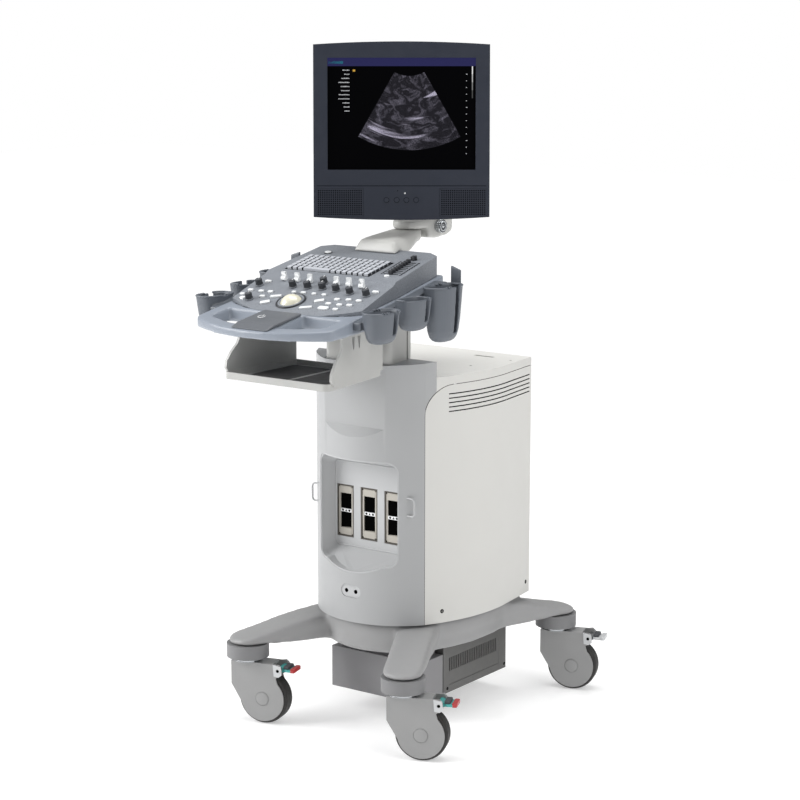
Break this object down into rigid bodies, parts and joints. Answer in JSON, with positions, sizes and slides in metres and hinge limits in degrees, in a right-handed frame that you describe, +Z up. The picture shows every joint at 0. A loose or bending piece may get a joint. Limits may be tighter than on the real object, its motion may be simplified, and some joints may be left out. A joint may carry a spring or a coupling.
{
  "type": "cart ultrasound machine",
  "caption": "Wheeled ultrasound cart: bowed cabinet on a legged base with casters, height-adjustable control console with probe cups and tray, and a tilting flat screen on an arm.",
  "frame": {"origin": "on the floor, midway between the four caster stems", "axes": "+Z up, -Y towards the operator, +X to the operator's right as seen from the front"},
  "size_m": [0.5564, 0.8608, 1.4245],
  "materials": {
    "pan_grey": "satin",
    "base_plastic": "satin",
    "chrome_ring": "polished",
    "frame_metal": "satin",
    "shell_grey": "satin",
    "shell_white": "satin",
    "recess_grey": "satin",
    "port_black": "satin",
    "hook_grey": "satin",
    "box_grey": "satin",
    "inlet_black": "satin",
    "board_cage": "satin",
    "fan_black": "satin",
    "column_white": "satin",
    "tube_steel": "satin",
    "console_grey": "satin",
    "palm_grey": "matte",
    "tray_dark": "matte",
    "cup_grey": "satin",
    "tray_beige": "satin",
    "arm_white": "satin",
    "ball_cream": "gloss",
    "knob_charcoal": "satin",
    "key_white": "satin",
    "key_grey": "satin",
    "slider_dark": "satin",
    "monitor_blue": "satin",
    "screen_black": "gloss",
    "caster_grey": "satin",
    "tyre_dark": "matte",
    "pedal_teal": "satin"
  },
  "bodies": {
    "base": {"base_cover": "base_plastic", "base_pan": "pan_grey", "caster_stems": "chrome_ring", "chassis_frame": "frame_metal", "front_shell": "shell_grey", "side_panel_left": "shell_white", "side_panel_right": "shell_white", "rear_panel": "shell_white", "top_cover": "shell_white", "port_recess": "recess_grey", "probe_ports": "port_black", "ecg_plate": "port_black", "cable_hooks": "hook_grey", "power_box": "box_grey", "mains_inlet": "inlet_black", "card_cage": "board_cage"},
    "lift": {"column_covers": "column_white", "lift_tube": "tube_steel", "console_lower": "console_grey", "console_deck": "console_grey", "palm_rest": "palm_grey", "deck_inserts": "tray_dark", "cups_left": "cup_grey", "cups_right": "cup_grey", "tray_bracket": "tray_beige", "arm_foot": "arm_white"},
    "fan": {"fan_rotor": "fan_black"},
    "ball": {"trackball": "ball_cream"},
    "knob_1": {"knob_1": "knob_charcoal"},
    "knob_2": {"knob_2": "knob_charcoal"},
    "knob_3": {"knob_3": "knob_charcoal"},
    "knob_4": {"knob_4": "knob_charcoal"},
    "knob_5": {"knob_5": "knob_charcoal"},
    "knob_6": {"knob_6": "knob_charcoal"},
    "knob_7": {"knob_7": "knob_charcoal"},
    "knob_8": {"knob_8": "knob_charcoal"},
    "knob_9": {"knob_9": "knob_charcoal"},
    "paddles": {"toggle_paddles": "key_white"},
    "buttons": {"panel_buttons": "key_white"},
    "keys": {"key_caps": "key_grey"},
    "sliders": {"gain_sliders": "slider_dark"},
    "arm_link": {"arm_link": "arm_white"},
    "arm_head": {"arm_head": "arm_white"},
    "arm_knob": {"arm_knob": "arm_white"},
    "monitor": {"monitor_back": "monitor_blue", "monitor_bezel": "monitor_blue", "lcd_panel": "screen_black"},
    "monitor_keys": {"monitor_buttons": "slider_dark"},
    "caster_fl": {"caster_fl_shell": "caster_grey"},
    "wheel_fl": {"caster_fl_wheel": "tyre_dark"},
    "pedal_fl": {"caster_fl_pedal": "pedal_teal"},
    "caster_fr": {"caster_fr_shell": "caster_grey"},
    "wheel_fr": {"caster_fr_wheel": "tyre_dark"},
    "pedal_fr": {"caster_fr_pedal": "pedal_teal"},
    "caster_rl": {"caster_rl_shell": "caster_grey"},
    "wheel_rl": {"caster_rl_wheel": "tyre_dark"},
    "pedal_rl": {"caster_rl_pedal": "pedal_teal"},
    "caster_rr": {"caster_rr_shell": "caster_grey"},
    "wheel_rr": {"caster_rr_wheel": "tyre_dark"},
    "pedal_rr": {"caster_rr_pedal": "pedal_teal"}
  },
  "joints": [
    {"name": "lift_slide", "type": "slide", "parent": "base", "child": "lift", "axis": [0, 0, 1], "range_m": [-0.04, 0.08]},
    {"name": "fan_spin", "type": "hinge", "parent": "base", "child": "fan", "pos_m": [0, 0.163, 0.43], "axis": [0, 1, 0], "continuous": true},
    {"name": "ball_roll", "type": "hinge", "parent": "lift", "child": "ball", "pos_m": [-0.019, -0.35827, 0.91121], "axis": [1, 0, 0], "continuous": true},
    {"name": "knob_1_turn", "type": "hinge", "parent": "lift", "child": "knob_1", "pos_m": [-0.139, -0.313, 0.9392], "axis": [0, -0.3387, 0.9409], "range_deg": [-150, 150]},
    {"name": "knob_2_turn", "type": "hinge", "parent": "lift", "child": "knob_2", "pos_m": [-0.119, -0.37, 0.91868], "axis": [0, -0.3387, 0.9409], "range_deg": [-150, 150]},
    {"name": "knob_3_turn", "type": "hinge", "parent": "lift", "child": "knob_3", "pos_m": [-0.057, -0.307, 0.94136], "axis": [0, -0.3387, 0.9409], "range_deg": [-150, 150]},
    {"name": "knob_4_turn", "type": "hinge", "parent": "lift", "child": "knob_4", "pos_m": [-0.021, -0.305, 0.94208], "axis": [0, -0.3387, 0.9409], "range_deg": [-150, 150]},
    {"name": "knob_5_turn", "type": "hinge", "parent": "lift", "child": "knob_5", "pos_m": [0.015, -0.303, 0.9428], "axis": [0, -0.3387, 0.9409], "range_deg": [-150, 150]},
    {"name": "knob_6_turn", "type": "hinge", "parent": "lift", "child": "knob_6", "pos_m": [0.004, -0.283, 0.95], "axis": [0, -0.3387, 0.9409], "range_deg": [-150, 150]},
    {"name": "knob_7_turn", "type": "hinge", "parent": "lift", "child": "knob_7", "pos_m": [0.051, -0.305, 0.94208], "axis": [0, -0.3387, 0.9409], "range_deg": [-150, 150]},
    {"name": "knob_8_turn", "type": "hinge", "parent": "lift", "child": "knob_8", "pos_m": [0.089, -0.31, 0.94028], "axis": [0, -0.3387, 0.9409], "range_deg": [-150, 150]},
    {"name": "knob_9_turn", "type": "hinge", "parent": "lift", "child": "knob_9", "pos_m": [0.131, -0.312, 0.93956], "axis": [0, -0.3387, 0.9409], "range_deg": [-150, 150]},
    {"name": "paddle_flick", "type": "hinge", "parent": "lift", "child": "paddles", "pos_m": [0, -0.28669, 0.95398], "axis": [1, 0, 0], "range_deg": [-12, 12], "stiffness_Nm_per_rad": 0.4},
    {"name": "button_press", "type": "slide", "parent": "lift", "child": "buttons", "axis": [0, 0.3387, -0.9409], "range_m": [0, 0.0012], "stiffness_N_per_m": 3000, "springref_m": -0.0008},
    {"name": "key_press", "type": "slide", "parent": "lift", "child": "keys", "axis": [0, 0.2149, -0.9766], "range_m": [0, 0.001], "stiffness_N_per_m": 4000, "springref_m": -0.0014},
    {"name": "slider_shift", "type": "slide", "parent": "lift", "child": "sliders", "axis": [1, 0, 0], "range_m": [-0.008, 0.008]},
    {"name": "arm_swing", "type": "hinge", "parent": "lift", "child": "arm_link", "pos_m": [0, 0.005, 1.02], "axis": [0, 0, 1], "range_deg": [-45, 45]},
    {"name": "screen_turn", "type": "hinge", "parent": "arm_link", "child": "arm_head", "pos_m": [0, 0.115, 1.05], "axis": [0, 0, 1], "range_deg": [-75, 40]},
    {"name": "arm_knob_turn", "type": "hinge", "parent": "arm_link", "child": "arm_knob", "pos_m": [0.032, 0.073, 1.037], "axis": [1, 0, 0], "range_deg": [-90, 90]},
    {"name": "screen_tilt", "type": "hinge", "parent": "arm_head", "child": "monitor", "pos_m": [-0.02323, 0.01716, 1.22983], "axis": [0.809, 0.5878, 0], "range_deg": [-20, 5]},
    {"name": "monitor_key_press", "type": "slide", "parent": "monitor", "child": "monitor_keys", "axis": [-0.5854, 0.8057, -0.0906], "range_m": [0, 0.0012], "stiffness_N_per_m": 2500},
    {"name": "caster_fl_swivel", "type": "hinge", "parent": "base", "child": "caster_fl", "pos_m": [-0.203, -0.289, 0.131], "axis": [0, 0, 1], "continuous": true},
    {"name": "wheel_fl_spin", "type": "hinge", "parent": "caster_fl", "child": "wheel_fl", "pos_m": [-0.1634, -0.27839, 0.055], "axis": [-0.2588, 0.9659, 0], "continuous": true},
    {"name": "brake_fl_press", "type": "hinge", "parent": "caster_fl", "child": "pedal_fl", "pos_m": [-0.12766, -0.26881, 0.12], "axis": [-0.2588, 0.9659, 0], "range_deg": [0, 16]},
    {"name": "caster_fr_swivel", "type": "hinge", "parent": "base", "child": "caster_fr", "pos_m": [0.203, -0.289, 0.131], "axis": [0, 0, 1], "continuous": true},
    {"name": "wheel_fr_spin", "type": "hinge", "parent": "caster_fr", "child": "wheel_fr", "pos_m": [0.24074, -0.27298, 0.055], "axis": [-0.3907, 0.9205, 0], "continuous": true},
    {"name": "brake_fr_press", "type": "hinge", "parent": "caster_fr", "child": "pedal_fr", "pos_m": [0.2748, -0.25852, 0.12], "axis": [-0.3907, 0.9205, 0], "range_deg": [0, 16]},
    {"name": "caster_rl_swivel", "type": "hinge", "parent": "base", "child": "caster_rl", "pos_m": [-0.203, 0.289, 0.131], "axis": [0, 0, 1], "continuous": true},
    {"name": "wheel_rl_spin", "type": "hinge", "parent": "caster_rl", "child": "wheel_rl", "pos_m": [-0.16423, 0.30235, 0.055], "axis": [-0.3256, 0.9455, 0], "continuous": true},
    {"name": "brake_rl_press", "type": "hinge", "parent": "caster_rl", "child": "pedal_rl", "pos_m": [-0.12925, 0.31439, 0.12], "axis": [-0.3256, 0.9455, 0], "range_deg": [0, 16]},
    {"name": "caster_rr_swivel", "type": "hinge", "parent": "base", "child": "caster_rr", "pos_m": [0.203, 0.289, 0.131], "axis": [0, 0, 1], "continuous": true},
    {"name": "wheel_rr_spin", "type": "hinge", "parent": "caster_rr", "child": "wheel_rr", "pos_m": [0.24177, 0.30235, 0.055], "axis": [-0.3256, 0.9455, 0], "continuous": true},
    {"name": "brake_rr_press", "type": "hinge", "parent": "caster_rr", "child": "pedal_rr", "pos_m": [0.27675, 0.31439, 0.12], "axis": [-0.3256, 0.9455, 0], "range_deg": [0, 16]}
  ]
}
